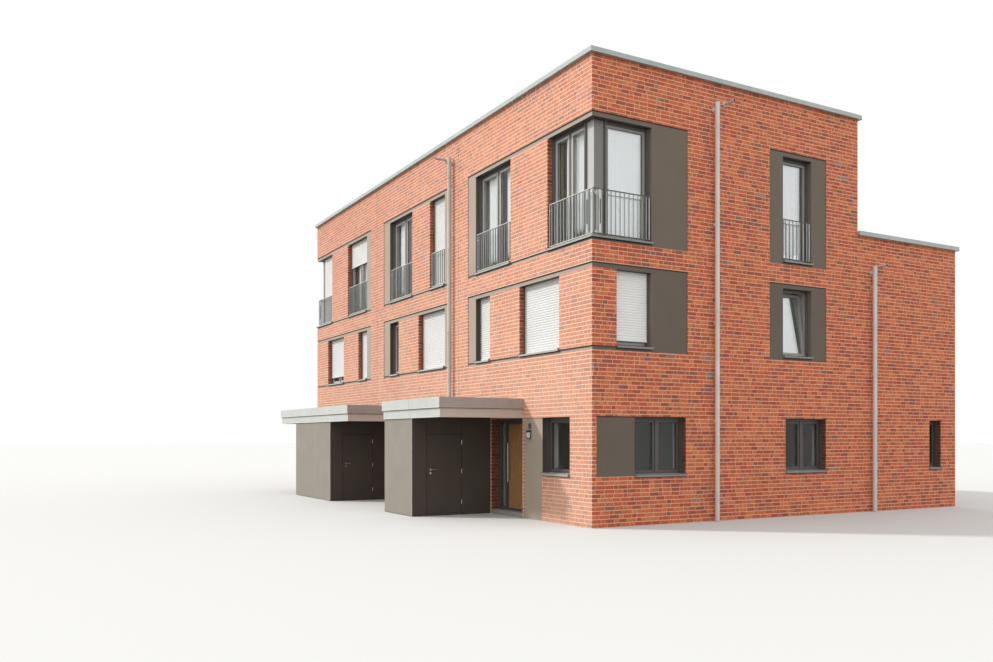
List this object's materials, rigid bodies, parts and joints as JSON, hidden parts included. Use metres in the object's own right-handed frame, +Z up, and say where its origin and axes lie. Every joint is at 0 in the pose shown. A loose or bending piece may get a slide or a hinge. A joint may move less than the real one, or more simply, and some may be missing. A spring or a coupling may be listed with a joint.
{
  "type": "terraced house row",
  "caption": "Row of flat-roofed terraced brick houses with corner windows, roller shutters, balcony railings, metal copings and entrance canopies.",
  "frame": {"origin": "on the ground at the middle of the outer walls in plan", "axes": "+X to the right along the front as seen from the path, +Y from the front towards the garden, +Z up"},
  "size_m": [17.58, 13.59, 9.43],
  "materials": {
    "concrete": "matt concrete",
    "roof_felt": "matt roofing sheet",
    "blockwork": "matt blockwork",
    "brick": "matt fired clay",
    "coping": "satin sheet metal",
    "render": "fine matt render",
    "frame": "satin dark coating",
    "pane": "clear",
    "shutter": "satin slats",
    "sill": "satin",
    "galvanised": "dull galvanised",
    "zinc": "dull zinc",
    "canopy": "satin sheet metal",
    "panel": "matt fibre cement",
    "door": "satin oiled wood",
    "steel": "brushed",
    "lamp": "matt",
    "fabric": "soft woven cloth"
  },
  "bodies": {
    "building": {"ground_slab": "concrete", "first_floor_slab": "concrete", "second_floor_slab": "concrete", "main_roof_slab": "roof_felt", "rear_roof": "roof_felt", "party_walls": "blockwork", "right_end_wall": "brick", "left_end_wall": "brick", "front_wall": "brick", "front_ground_wall": "brick", "rear_wall": "brick", "upper_rear_wall": "brick", "main_coping": "coping", "rear_coping": "coping", "front_render_bands": "render", "front_render_panels": "render", "end_render_bands": "render", "end_render_panels": "render", "corner_posts": "frame", "window_frames": "frame", "window_panes": "pane", "roller_shutters": "shutter", "curtains": "fabric", "front_sills": "sill", "end_sills": "sill", "rear_sills": "sill", "front_railings": "galvanised", "end_railings": "galvanised", "downpipes": "zinc", "overflow_spouts": "zinc", "canopy_decks": "canopy", "canopy_fascias": "canopy", "canopy_side_fascias": "canopy", "store_fronts": "panel", "store_sides": "panel", "store_doors": "panel", "entrance_frame": "frame", "neighbour_frames": "frame", "neighbour_doors": "door", "neighbour_handles": "steel", "sidelights": "pane", "wall_lamps": "lamp"},
    "entrance_door_leaf": {"entrance_door": "door", "entrance_handle": "steel"}
  },
  "joints": [
    {"name": "entrance_door_hinge", "type": "hinge", "parent": "building", "child": "entrance_door_leaf", "pos_m": [5.776, -5.421, 1.2], "axis": [0, 0, -1], "range_deg": [0, 90]}
  ]
}
